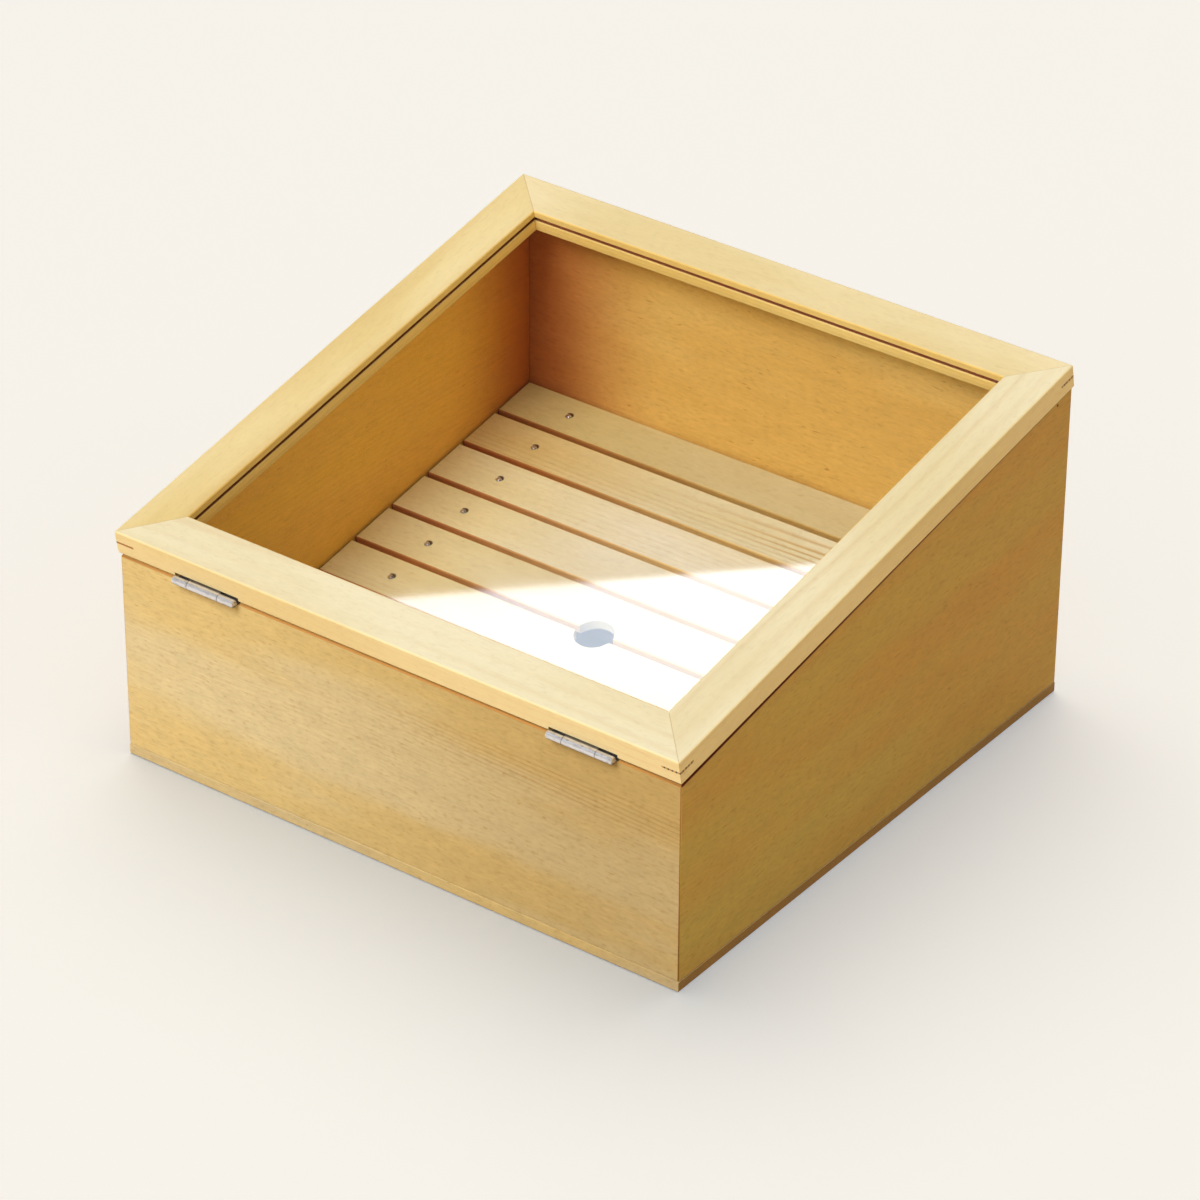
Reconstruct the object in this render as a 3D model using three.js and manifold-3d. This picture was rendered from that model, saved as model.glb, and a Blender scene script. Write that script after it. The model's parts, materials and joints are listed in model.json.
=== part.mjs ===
// A tabletop display case of pale softwood: a low box with a sloping top, a glazed lid hinged along
// its low front edge, and a slatted tray that stands inside at a slant and lifts out by a finger hole.
//
// Millimetres. The origin is the middle of the underside. +X runs to the right along the hinges,
// +Y runs from the low front to the high back, +Z is up.
import * as THREE from "three";
import { mergeVertices } from "three/addons/utils/BufferGeometryUtils.js";
import Module from "manifold-3d";

// ---- Driving dimensions ----

// The box: four mitred boards standing on a flush bottom board.
const caseWidth = 450;
const caseDepth = 435.5;
const frontHeight = 154;
const backHeight = 236.7;
const wall = 12;
const bottomThickness = 8;

// A small nail hole in the right side, by the top of the back corner.
const nailHoleRadius = 1.1;
const nailHoleDepth = 6;
const nailHoleFromBack = 17.2;
const nailHoleBelowTop = 2.6;

// The lid frame: four mitred rails, measured in the plane of the lid.
const lidThickness = 18;
const sideRail = 33.5;
const frontRail = 36;
const backRail = 32.5;
const lidSideOverhang = 0.8;
const lidFrontOverhang = 1;
const lidBackOverhang = 1.2;
const lidFrontGap = 2.6; // height of the lid over the front board, which the hinges leave
const lidBackGap = 0.3; // and over the back board, where the lid comes to rest

// The pane, in a groove round the inside of the frame.
const glassThickness = 3;
const grooveFromUnderside = 8.2;
const grooveWidth = 4.2;
const grooveDepth = 3.2;
const glassEdgeRoom = 0.6;

// The loose-tongue key in each corner of the frame, a triangle across the mitre.
const keyLeg = 14.2;
const keyThickness = 1.3;

// The butt hinges. Their pins lie in the plane of the lid's underside.
const hingeLength = 51;
const hingeInset = 74; // from the end of the case to the middle of the hinge
const barrelRadius = 2.8;
const leafThickness = 1.5;
const leafSetback = 2.4; // from the leaf's edge to the inner face of the front board
const leafNotch = 2.5; // how far a leaf is cut back behind the lid's edge beside the other's knuckles
const barrelRound = 0.9; // at the two outer ends of the barrel
const pinRadius = 1.25;
const middleKnuckle = 25.5;
const knuckleGap = 0.5; // between neighbouring knuckles
const mortiseEndRoom = 1;

// The countersunk screws of the hinges.
const screwLength = 13;
const screwRadius = 1.3;
const screwHeadRadius = 2.5;
const screwHeadHeight = 1.2;
const screwTip = 2;
const screwFromEnd = 8;
const screwSunk = 0.1;
const recessWidth = 0.6;
const recessDepth = 0.7;

// The tray: slats nailed across two tapered bearers.
const slatCount = 10;
const slatGap = 4;
const slatThickness = 7;
const slatEndRoom = 1;
const trayBackRoom = 0.5;
const trayFrontRoom = 12.4;
const traySlope = THREE.MathUtils.degToRad(9.5);
const bearerThickness = 12;
const bearerFrontHeight = 14.8;
const bearerInset = 50; // from the inner face of a side to the middle of the bearer
const fingerHoleRadius = 14;
const fingerHoleOffset = -6;

// The round-headed nails of the slats, one into each bearer. The rim of a head lies just below the
// surface, and its crown stands proud.
const nailLength = 17;
const nailRadius = 1;
const nailTip = 2.5;
const nailHeadRadius = 2.3;
const nailRimThickness = 0.5;
const nailCrown = 1.3;
const nailSunk = 0.2;
const counterboreRadius = 2.6;

// Clearances that every joint shares.
const seat = 0.3; // between a piece and what it rests on
const play = 0.25; // round a pin, a shank or a key
const run = 0.3; // between pieces that turn past each other
const mitreGap = 0.3; // glue line of a mitre, along the rail
const over = 5; // how far a cutting tool stands clear of what it cuts

// ---- Sizes that follow ----

const halfWidth = caseWidth / 2;
const halfDepth = caseDepth / 2;
const slope = Math.atan2(backHeight - frontHeight, caseDepth);
const topHeight = (y) => frontHeight + (y + halfDepth) * Math.tan(slope);

// The pins stand out in front of the lid's edge by a barrel's radius and its running clearance.
const pinOut = lidFrontOverhang + barrelRadius + run;
const lidSlope = Math.atan2(backHeight + lidBackGap - frontHeight - lidFrontGap, caseDepth);
const pinY = -halfDepth - pinOut;
const pinZ = frontHeight + lidFrontGap - pinOut * Math.tan(lidSlope);
const hingeX = halfWidth - hingeInset;
const leafWidth = pinOut + wall - leafSetback;
const screwLine = pinOut + wall / 2;
const boreRadius = pinRadius + play;

// The lid in its own plane: x along the pins, y up the slope from the pins, z out of the underside.
const lidHalfWidth = halfWidth + lidSideOverhang;
const lidFront = (pinOut - lidFrontOverhang) / Math.cos(lidSlope);
const lidBack = (pinOut + caseDepth + lidBackOverhang) / Math.cos(lidSlope);
const sightHalfWidth = lidHalfWidth - sideRail;
const sightFront = lidFront + frontRail;
const sightBack = lidBack - backRail;

// The tray's slats in their own plane: y runs up the slope and is 0 at the back edge of the top slat.
const trayBack = halfDepth - wall - trayBackRoom;
const trayFront = -halfDepth + wall + trayFrontRoom;
const trayFloor = bottomThickness + seat;
const slatRun = (trayBack - trayFront) / Math.cos(traySlope);
const slatWidth = (slatRun - (slatCount - 1) * slatGap) / slatCount;
const slatPitch = slatWidth + slatGap;
const slatHalfLength = halfWidth - wall - slatEndRoom;
const bearerX = halfWidth - wall - bearerInset;
const bearerTop = (y) => trayFloor + bearerFrontHeight + (y - trayFront) * Math.tan(traySlope);
const slatUndersideRise = seat / Math.cos(traySlope);

// ---- Solid tools ----

const wasm = await Module();
wasm.setup();

// A closed geometry as a manifold solid.
function solidOf(geometry) {
  const bare = geometry.clone();
  bare.deleteAttribute("normal");
  bare.deleteAttribute("uv");
  const merged = mergeVertices(bare, 1e-4);
  const vertProperties = merged.attributes.position.array;
  const triVerts = new Uint32Array(merged.index.array);
  return new wasm.Manifold(new wasm.Mesh({ numProp: 3, vertProperties, triVerts }));
}

function geometryOf(solid) {
  const { vertProperties, triVerts } = solid.getMesh();
  const geometry = new THREE.BufferGeometry();
  geometry.setAttribute("position", new THREE.BufferAttribute(vertProperties, 3));
  geometry.setIndex(new THREE.BufferAttribute(triVerts, 1));
  geometry.computeVertexNormals();
  return geometry;
}

function cut(body, ...tools) {
  return geometryOf(tools.reduce((left, tool) => left.subtract(solidOf(tool)), solidOf(body)));
}

function join(first, ...others) {
  return geometryOf(others.reduce((whole, other) => whole.add(solidOf(other)), solidOf(first)));
}

// A box from its two opposite corners.
function box([x0, y0, z0], [x1, y1, z1]) {
  const geometry = new THREE.BoxGeometry(x1 - x0, y1 - y0, z1 - z0);
  return geometry.translate((x0 + x1) / 2, (y0 + y1) / 2, (z0 + z1) / 2);
}

// A solid over a plan outline, which runs anticlockwise seen from above.
function prism(outline, z0, z1) {
  const shape = new THREE.Shape(outline.map(([x, y]) => new THREE.Vector2(x, y)));
  const geometry = new THREE.ExtrudeGeometry(shape, { depth: z1 - z0, bevelEnabled: false });
  return geometry.translate(0, 0, z0);
}

// The same between a level underside and a top whose height depends on y.
function slopedPrism(outline, z0, topAt) {
  const geometry = prism(outline, 0, 1);
  const position = geometry.attributes.position;
  for (let i = 0; i < position.count; i += 1) {
    position.setZ(i, position.getZ(i) === 0 ? z0 : topAt(position.getY(i)));
  }
  return geometry;
}

// A turned solid along z. The profile lists [radius, z] from the lower end of the axis to the upper.
function turned(profile, segments) {
  const points = profile.map(([radius, z]) => new THREE.Vector2(radius, z));
  return new THREE.LatheGeometry(points, segments).rotateX(Math.PI / 2);
}

// The points of a round on the edge of a turned profile, from its flat end at z out to its side at
// the radius. The round reaches in along the flat end, and back along the side by the drop.
function roundedEdge(radius, z, reach, drop, steps = 4) {
  return Array.from({ length: steps + 1 }, (_, step) => {
    const angle = (step / steps) * (Math.PI / 2);
    return [radius - reach * (1 - Math.sin(angle)), z - drop * (1 - Math.cos(angle))];
  });
}

// A round bar along z between two heights, or along x between two ends.
function barZ(radius, z0, z1, segments) {
  return turned([[0, z0], [radius, z0], [radius, z1], [0, z1]], segments);
}

function barX(radius, x0, x1, segments) {
  return barZ(radius, x0, x1, segments).rotateY(Math.PI / 2);
}

// ---- Materials ----

function material(color, roughness, metalness = 0) {
  return new THREE.MeshStandardMaterial({ color, roughness, metalness });
}

const finishes = {
  caseWood: () => material("#d9b26b", 0.62),
  lidWood: () => material("#ead79f", 0.58),
  slatWood: () => material("#dcc596", 0.66),
  keyWood: () => material("#7a4a22", 0.7),
  steel: () => material("#c9cacd", 0.32, 1),
  nail: () => material("#b9bbc0", 0.3, 1),
  glass: () => Object.assign(material("#e8f1ee", 0.05), { transparent: true, opacity: 0.3 }),
};

function piece(name, geometry, finish) {
  const mesh = new THREE.Mesh(geometry, finishes[finish]());
  mesh.name = name;
  return mesh;
}

// The two hands that most pieces come in.
const hands = [
  { hand: "left", side: -1 },
  { hand: "right", side: 1 },
];

// ---- The hinge, along x, with its pin at the origin ----

const knuckleEnd = hingeLength / 2;
const knuckleSplit = middleKnuckle / 2;
const halfKnuckleGap = knuckleGap / 2;
const notchEdge = lidFront + leafNotch;
const leafOuter = barrelRadius;
const leafInner = barrelRadius - leafThickness;
const screwXs = [-1, 1].map((end) => end * (knuckleEnd - screwFromEnd));

// The spans of the knuckles that belong to each leaf, as [from, to] along the pin.
const caseKnuckles = [
  [-knuckleEnd, -knuckleSplit - halfKnuckleGap],
  [knuckleSplit + halfKnuckleGap, knuckleEnd],
];
const lidKnuckles = [[-knuckleSplit + halfKnuckleGap, knuckleSplit - halfKnuckleGap]];

// The turned form of a screw along z, head face at 0 and point upwards, grown by some room.
function screwForm(room) {
  const length = screwLength + room;
  return turned(
    [
      [0, 0],
      [screwHeadRadius + room, 0],
      [screwRadius + room, screwHeadHeight],
      [screwRadius + room, length - screwTip],
      [0, length],
    ],
    20,
  );
}

// A screw with its cross recess.
function screw() {
  const bar = [screwHeadRadius * 0.6, recessWidth / 2];
  const crossing = [bar, [...bar].reverse()].map(([x, y]) =>
    box([-x, -y, -over], [x, y, recessDepth]),
  );
  return cut(screwForm(0), ...crossing);
}

// Where the screws of one leaf sit: up into the lid, or turned over and down into the case.
function driveScrew(geometry, x, up) {
  if (!up) geometry.rotateX(Math.PI);
  const face = leafInner + screwSunk;
  return geometry.translate(x, screwLine, up ? face : -face);
}

// The hole that a screw leaves in the leaf and in the wood, open at the head.
function screwHole(x, up) {
  const mouth = barZ(screwHeadRadius + play, -over, screwSunk / 2, 20);
  return driveScrew(join(screwForm(play), mouth), x, up);
}

// One knuckle along the pin, rounded where it ends the barrel.
function knuckle([from, to]) {
  const edge = (z, drop) =>
    Math.abs(z) === knuckleEnd ? roundedEdge(barrelRadius, z, barrelRound, drop) : [[barrelRadius, z]];
  const start = edge(from, -barrelRound);
  const end = edge(to, barrelRound).reverse();
  return turned([[0, from], ...start, ...end, [0, to]], 28).rotateY(Math.PI / 2);
}

// One leaf, above the pin for the lid and below it for the case.
function leaf(up, own, others) {
  const [z0, z1] = up ? [leafInner, leafOuter] : [-leafOuter, -leafInner];
  const notches = others.map(([from, to]) =>
    box([from - run, -over, z0 - over], [to + run, notchEdge, z1 + over]),
  );
  const plate = cut(box([-knuckleEnd, 0, z0], [knuckleEnd, leafWidth, z1]), ...notches);
  const bore = barX(boreRadius, -knuckleEnd - over, knuckleEnd + over, 20);
  const holes = screwXs.map((x) => screwHole(x, up));
  return cut(join(plate, ...own.map(knuckle)), bore, ...holes);
}

// The bed that a leaf is let into, up to the outer face of the leaf and a seat beyond.
function mortise(up) {
  const reach = knuckleEnd + mortiseEndRoom;
  const depth = leafOuter + seat;
  const [z0, z1] = up ? [-over, depth] : [-depth, over];
  return box([-reach, -over, z0], [reach, leafWidth + seat, z1]);
}

// Everything that one hinge takes out of the wood on its side, at a place along the pins.
function hingeCuts(x, up) {
  const tools = [mortise(up), ...screwXs.map((screwX) => screwHole(screwX, up))];
  return tools.map((tool) => tool.translate(x, 0, 0));
}

// ---- The case ----

const caseGroup = new THREE.Group();

// The pieces of the hinges that stay with the case lie along the slope of its top.
const caseHinges = new THREE.Group();
caseHinges.position.set(0, pinY, pinZ);
caseHinges.rotation.x = slope;
caseHinges.updateMatrix();
caseGroup.add(caseHinges);

function makeBottomBoard() {
  const low = [-halfWidth, -halfDepth, 0];
  const high = [halfWidth, halfDepth, bottomThickness];
  caseGroup.add(piece("bottom_board", box(low, high), "caseWood"));
}

// The four walls, each a plan outline between its outer edge and its inner edge.
function makeWalls() {
  const outer = { x: halfWidth, y: halfDepth };
  const inner = { x: halfWidth - wall, y: halfDepth - wall };
  const board = (outline) => slopedPrism(outline, bottomThickness, topHeight);

  const front = board([
    [-outer.x, -outer.y],
    [outer.x, -outer.y],
    [inner.x, -inner.y],
    [-inner.x, -inner.y],
  ]);
  const back = board([
    [-inner.x, inner.y],
    [inner.x, inner.y],
    [outer.x, outer.y],
    [-outer.x, outer.y],
  ]);
  const left = board([
    [-outer.x, -outer.y],
    [-inner.x, -inner.y],
    [-inner.x, inner.y],
    [-outer.x, outer.y],
  ]);
  const right = board([
    [inner.x, -inner.y],
    [outer.x, -outer.y],
    [outer.x, outer.y],
    [inner.x, inner.y],
  ]);

  const beds = hands.flatMap(({ side }) => hingeCuts(side * hingeX, false));
  const bedsInPlace = beds.map((tool) => tool.applyMatrix4(caseHinges.matrix));
  const holeY = halfDepth - nailHoleFromBack;
  const holeZ = topHeight(holeY) - nailHoleBelowTop;
  const nailHole = barX(nailHoleRadius, halfWidth - nailHoleDepth, halfWidth + over, 16);
  nailHole.translate(0, holeY, holeZ);

  caseGroup.add(
    piece("front_board", cut(front, ...bedsInPlace), "caseWood"),
    piece("back_board", back, "caseWood"),
    piece("left_side", left, "caseWood"),
    piece("right_side", cut(right, nailHole), "caseWood"),
  );
}

// ---- The lid ----

const lid = new THREE.Group();
lid.position.set(0, pinY, pinZ);
lid.rotation.x = lidSlope;

// The slot or the key across one corner: a right triangle whose legs run along the outer edges.
// outset grows it past those edges, and room grows it past its long side.
function cornerTriangle(cornerX, cornerY, towardX, towardY, outset, room) {
  const far = keyLeg + room + outset;
  const x = cornerX - towardX * outset;
  const y = cornerY - towardY * outset;
  const corners = [[x, y], [x + towardX * far, y], [x, y + towardY * far]];
  return towardX * towardY > 0 ? corners : corners.reverse();
}

// The four corners of the frame, with the way to the middle of the lid from each.
const lidCorners = hands.flatMap(({ hand, side }) => [
  { name: `front_${hand}`, x: side * lidHalfWidth, y: lidFront, towardX: -side, towardY: 1 },
  { name: `back_${hand}`, x: side * lidHalfWidth, y: lidBack, towardX: -side, towardY: -1 },
]);

function makeLidFrame() {
  const half = mitreGap / 2;
  const board = (outline) => prism(outline, 0, lidThickness);
  const rails = {
    lid_front_rail: board([
      [-lidHalfWidth + half, lidFront],
      [lidHalfWidth - half, lidFront],
      [sightHalfWidth - half, sightFront],
      [-sightHalfWidth + half, sightFront],
    ]),
    lid_back_rail: board([
      [-sightHalfWidth + half, sightBack],
      [sightHalfWidth - half, sightBack],
      [lidHalfWidth - half, lidBack],
      [-lidHalfWidth + half, lidBack],
    ]),
    lid_left_rail: board([
      [-lidHalfWidth, lidFront + half],
      [-sightHalfWidth, sightFront + half],
      [-sightHalfWidth, sightBack - half],
      [-lidHalfWidth, lidBack - half],
    ]),
    lid_right_rail: board([
      [sightHalfWidth, sightFront + half],
      [lidHalfWidth, lidFront + half],
      [lidHalfWidth, lidBack - half],
      [sightHalfWidth, sightBack - half],
    ]),
  };

  const groove = box(
    [-sightHalfWidth - grooveDepth, sightFront - grooveDepth, grooveFromUnderside],
    [sightHalfWidth + grooveDepth, sightBack + grooveDepth, grooveFromUnderside + grooveWidth],
  );
  const slotHalf = keyThickness / 2 + play;
  const slots = lidCorners.map(({ x, y, towardX, towardY }) =>
    prism(
      cornerTriangle(x, y, towardX, towardY, over, play + over),
      lidThickness / 2 - slotHalf,
      lidThickness / 2 + slotHalf,
    ),
  );
  const beds = hands.flatMap(({ side }) => hingeCuts(side * hingeX, true));

  for (const [name, rail] of Object.entries(rails)) {
    const tools = [groove, ...slots, ...(name === "lid_front_rail" ? beds : [])];
    lid.add(piece(name, cut(rail, ...tools), "lidWood"));
  }
}

function makeCornerKeys() {
  for (const { name, x, y, towardX, towardY } of lidCorners) {
    const outline = cornerTriangle(x, y, towardX, towardY, 0, 0);
    const low = (lidThickness - keyThickness) / 2;
    lid.add(piece(`corner_key_${name}`, prism(outline, low, low + keyThickness), "keyWood"));
  }
}

function makeGlass() {
  const reach = grooveDepth - glassEdgeRoom;
  const low = grooveFromUnderside + seat;
  const pane = box(
    [-sightHalfWidth - reach, sightFront - reach, low],
    [sightHalfWidth + reach, sightBack + reach, low + glassThickness],
  );
  lid.add(piece("glass_pane", pane, "glass"));
}

// ---- The hinges, each with one leaf and two screws on either side of the pin ----

function makeHinge({ hand, side }) {
  const x = side * hingeX;
  const add = (owner, name, geometry) => {
    owner.add(piece(`${hand}_hinge_${name}`, geometry.translate(x, 0, 0), "steel"));
  };

  add(caseHinges, "case_leaf", leaf(false, caseKnuckles, lidKnuckles));
  add(caseHinges, "pin", barX(pinRadius, -knuckleEnd, knuckleEnd, 20));
  add(lid, "lid_leaf", leaf(true, lidKnuckles, caseKnuckles));
  screwXs.forEach((screwX, index) => {
    add(caseHinges, `case_screw_${index + 1}`, driveScrew(screw(), screwX, false));
    add(lid, `lid_screw_${index + 1}`, driveScrew(screw(), screwX, true));
  });
}

// ---- The tray ----

const tray = new THREE.Group();

// The slats and nails lie in the slanted plane of the tray.
const slats = new THREE.Group();
slats.position.set(0, trayBack, bearerTop(trayBack) + slatUndersideRise);
slats.rotation.x = traySlope;
slats.updateMatrix();
tray.add(slats);

const slatBack = (index) => -index * slatPitch;
const slatMiddle = (index) => slatBack(index) - slatWidth / 2;
const everySlat = Array.from({ length: slatCount }, (_, index) => index);
const headSeat = slatThickness - nailSunk - nailRimThickness;

// The hole that a nail sits in, through a slat and down into the bearer.
function nailBore(x, index) {
  const shank = barZ(nailRadius + play, headSeat - nailLength - seat, headSeat, 14);
  const counterbore = barZ(counterboreRadius, headSeat - seat, slatThickness + over, 20);
  return join(shank, counterbore).translate(x, slatMiddle(index), 0);
}

function makeSlats() {
  const fingerHoleY = slatBack(Math.floor(slatCount / 2)) + slatGap / 2;
  const fingerHole = barZ(fingerHoleRadius, -over, slatThickness + over, 48);
  fingerHole.translate(fingerHoleOffset, fingerHoleY, 0);

  for (const index of everySlat) {
    const back = slatBack(index);
    const plank = box(
      [-slatHalfLength, back - slatWidth, 0],
      [slatHalfLength, back, slatThickness],
    );
    const bores = hands.map(({ side }) => nailBore(side * bearerX, index));
    slats.add(piece(`slat_${index + 1}`, cut(plank, fingerHole, ...bores), "slatWood"));
  }
}

// A nail along z, its domed head at the top.
function nail() {
  const point = headSeat - nailLength;
  const rim = headSeat + nailRimThickness;
  const crown = roundedEdge(nailHeadRadius, rim + nailCrown, nailHeadRadius, nailCrown);
  return turned(
    [
      [0, point],
      [nailRadius, point + nailTip],
      [nailRadius, headSeat],
      [nailHeadRadius, headSeat],
      ...crown.reverse(),
    ],
    14,
  );
}

function makeNails() {
  for (const { hand, side } of hands) {
    for (const index of everySlat) {
      const mesh = piece(`slat_nail_${hand}_${index + 1}`, nail(), "nail");
      mesh.position.set(side * bearerX, slatMiddle(index), 0);
      slats.add(mesh);
    }
  }
}

// A bearer is a wedge that stands flat on the bottom board and carries the slats on its slant.
function makeBearers() {
  for (const { hand, side } of hands) {
    const x0 = side * bearerX - bearerThickness / 2;
    const x1 = x0 + bearerThickness;
    const outline = [[x0, trayFront], [x1, trayFront], [x1, trayBack], [x0, trayBack]];
    const bores = everySlat.map((index) =>
      nailBore(side * bearerX, index).applyMatrix4(slats.matrix),
    );
    const wedge = slopedPrism(outline, trayFloor, bearerTop);
    tray.add(piece(`${hand}_bearer`, cut(wedge, ...bores), "slatWood"));
  }
}

// ---- The whole ----

makeBottomBoard();
makeWalls();
makeLidFrame();
makeCornerKeys();
makeGlass();
hands.forEach(makeHinge);
makeSlats();
makeNails();
makeBearers();

const displayCase = new THREE.Group();
displayCase.add(caseGroup, lid, tray);

export default displayCase;
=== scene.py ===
# %% [markdown]
# # A tabletop display case in pale softwood
#
# The case is a low box with a sloping top. Its lid is a mitred frame round a pane of glass, hinged
# along the low front edge, and a slatted tray stands inside at a slant. The solids are already
# made to size, so this lesson is about looks: the grain of every board, the eased edges, the
# plated hinges, the glass, and the light that shows them.
#
# Everything is in metres. +X runs to the right along the hinges, +Y from the low front to the high
# back, and +Z is up.

# %% Load the solids and read their boxes
import json
import math

import bpy
from mathutils import Matrix, Vector


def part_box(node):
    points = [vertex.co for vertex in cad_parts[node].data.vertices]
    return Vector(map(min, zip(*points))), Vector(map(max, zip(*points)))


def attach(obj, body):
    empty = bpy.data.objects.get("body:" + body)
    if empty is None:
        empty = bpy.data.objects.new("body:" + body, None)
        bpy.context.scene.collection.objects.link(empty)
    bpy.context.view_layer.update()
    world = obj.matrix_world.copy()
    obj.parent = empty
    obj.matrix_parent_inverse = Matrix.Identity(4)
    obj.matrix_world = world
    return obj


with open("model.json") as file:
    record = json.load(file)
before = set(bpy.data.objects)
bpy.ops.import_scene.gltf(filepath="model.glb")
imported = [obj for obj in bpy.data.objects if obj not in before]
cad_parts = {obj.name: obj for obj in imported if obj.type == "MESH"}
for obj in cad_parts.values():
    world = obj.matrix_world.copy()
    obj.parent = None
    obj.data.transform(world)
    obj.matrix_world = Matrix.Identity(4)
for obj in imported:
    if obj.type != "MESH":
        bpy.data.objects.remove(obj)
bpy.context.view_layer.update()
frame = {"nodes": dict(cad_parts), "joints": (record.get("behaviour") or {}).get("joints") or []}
nodes = frame["nodes"]

# %% [markdown]
# ## Small helpers for node trees
#
# A finish is a tree of shader nodes. Writing each node and each link out by hand takes many
# lines, so a few helpers add a node, set its fields and fill or link its sockets in one call.

# %% Helpers that build a node tree
SEED_STRIDE = (3.17, 5.71, 7.93)  # each seed looks at the noise from this much further on


def add(tree, kind, sockets=None, **fields):
    """Adds one node, a shader node unless its kind says otherwise. A socket may be given a value
    or another node's output."""
    made = tree.nodes.new(kind if "Node" in kind else "ShaderNode" + kind)
    for field, value in fields.items():
        setattr(made, field, value)
    for key, value in (sockets or {}).items():
        if isinstance(value, bpy.types.NodeSocket):
            tree.links.new(value, made.inputs[key])
        else:
            made.inputs[key].default_value = value
    return made


def reckon(tree, operation, first, second=0.0, third=0.0):
    """One step of arithmetic on numbers."""
    return add(tree, "Math", {0: first, 1: second, 2: third}, operation=operation).outputs[0]


def smooth_step(tree, value, low, high, start=0.0, end=1.0):
    """Goes softly from start to end as the value goes from low to high."""
    sockets = {"Value": value, "From Min": low, "From Max": high, "To Min": start, "To Max": end}
    return add(tree, "MapRange", sockets, interpolation_type="SMOOTHSTEP").outputs["Result"]


def mix_colours(tree, amount, first, second, way="MIX"):
    """Lays the second colour over the first."""
    made = add(tree, "Mix", {0: amount, 6: first, 7: second}, data_type="RGBA", blend_type=way)
    return made.outputs[2]


def speckle(tree, place, density, seed=0, detail=2.0, roughness=0.5):
    """Smooth random variation, so many features per metre along each of the three directions."""
    shift = [seed * stride for stride in SEED_STRIDE]
    moved = add(tree, "VectorMath", {0: place, 1: density, 2: shift}, operation="MULTIPLY_ADD")
    sockets = {"Vector": moved.outputs[0], "Scale": 1.0, "Detail": detail, "Roughness": roughness}
    return add(tree, "TexNoise", sockets).outputs[0]


def new_finish(name):
    """An empty material with its output node, ready for a surface."""
    material = bpy.data.materials.new(name)
    material.use_nodes = True
    tree = material.node_tree
    tree.nodes.clear()
    return material, tree, add(tree, "OutputMaterial")


print("tree helpers ready")

# %% [markdown]
# Colours are picked as they look on a screen and turned into the linear values that light needs.
# A tint is written in linear light already: it multiplies, so 1 leaves a channel as it is.


# %% Helpers for colours
def linear(channel):
    """One channel of a screen colour as linear light."""
    return channel / 12.92 if channel <= 0.04045 else ((channel + 0.055) / 1.055) ** 2.4


def colour(red, green, blue):
    """A colour as a screen shows it, from 0 to 1, as linear light."""
    return (linear(red), linear(green), linear(blue), 1.0)


def tinted(base, red, green, blue):
    """A linear colour with each channel multiplied."""
    return (base[0] * red, base[1] * green, base[2] * blue, 1.0)


print("mid grey is", round(colour(0.5, 0.5, 0.5)[0], 3), "in linear light")

# %% [markdown]
# ## The camera
#
# The case is seen from its front right corner and from well above, so that the lid, the front,
# the right side and the slats inside all show. A long lens keeps the boards nearly parallel. The
# camera is placed by an azimuth round the case, an elevation and a distance from the point that
# it looks at, which is easier to read than a bare position.

# %% Place the camera
LOOK_AT = Vector((0.0095, -0.0102, 0.105))
AZIMUTH = math.radians(36.39)
ELEVATION = math.radians(31.77)
ROLL = math.radians(0.37)
DISTANCE = 3.544
LENS_MM = 161.15
SENSOR_MM = 36.0

backward = Vector((
    math.sin(AZIMUTH) * math.cos(ELEVATION),
    -math.cos(AZIMUTH) * math.cos(ELEVATION),
    math.sin(ELEVATION),
))
level_right = Vector((math.cos(AZIMUTH), math.sin(AZIMUTH), 0.0))
rightward = Matrix.Rotation(ROLL, 3, backward) @ level_right
upward = backward.cross(rightward)

camera_data = bpy.data.cameras.new("case_camera")
camera_data.lens = LENS_MM
camera_data.sensor_width = SENSOR_MM
camera = bpy.data.objects.new("case_camera", camera_data)
camera.matrix_world = Matrix.Translation(LOOK_AT + backward * DISTANCE) @ Matrix(
    (rightward, upward, backward)
).transposed().to_4x4()
bpy.context.collection.objects.link(camera)
bpy.context.scene.camera = camera
print("camera at", [round(c, 3) for c in camera.matrix_world.translation])

# %% [markdown]
# ## The floor
#
# The case stands on a plain pale floor that runs out of sight. What the eye sees of the floor is
# not what it throws back on the wood: the bounce is warmer, as it is in a room full of wood, and
# it fills the shaded sides with gold. The Light Path node tells the two apart.


# %% Helpers for what stands round the case
def seen_directly(tree):
    """1 for rays from the eye and for what mirrors and glass show, 0 for light on its way."""
    path = add(tree, "LightPath").outputs
    seen = reckon(tree, "ADD", path["Is Camera Ray"], path["Is Glossy Ray"])
    return reckon(tree, "MINIMUM", reckon(tree, "ADD", seen, path["Is Transmission Ray"]), 1.0)


def flat_sheet(name, width, depth):
    """A thin rectangular sheet with its middle at its own origin, not part of the case."""
    mesh = bpy.data.meshes.new(name)
    x, y = width / 2, depth / 2
    mesh.from_pydata([(-x, -y, 0), (x, -y, 0), (x, y, 0), (-x, y, 0)], [], [(0, 1, 2, 3)])
    sheet = bpy.data.objects.new(name, mesh)
    bpy.context.collection.objects.link(sheet)
    return sheet


print("stage helpers ready")

# %% [markdown]
# A part of the seen floor glows by itself, so that the shadow round the case stays soft, and the
# rest is lit. That rest is divided by the warmth of the light, so that the open floor comes out at
# its own colour. The glow is a little blue, to balance the gold that the wood throws into its own
# shadow.

# %% Pale floor
PAPER = colour(0.969, 0.953, 0.922)
FLOOR_HALF = 12.0
FLOOR_GLOW = (0.14, 0.22, 0.32)  # share of each seen channel that shadow can't darken
FLOOR_LIT = 0.92  # light on the open floor, where 1 shows a colour as it is written
FLOOR_BOUNCE = colour(0.835, 0.72, 0.50)
WARMTH = (1.0, 0.84, 0.62, 1.0)  # colour of the sky's light and of the light on the floor

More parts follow.
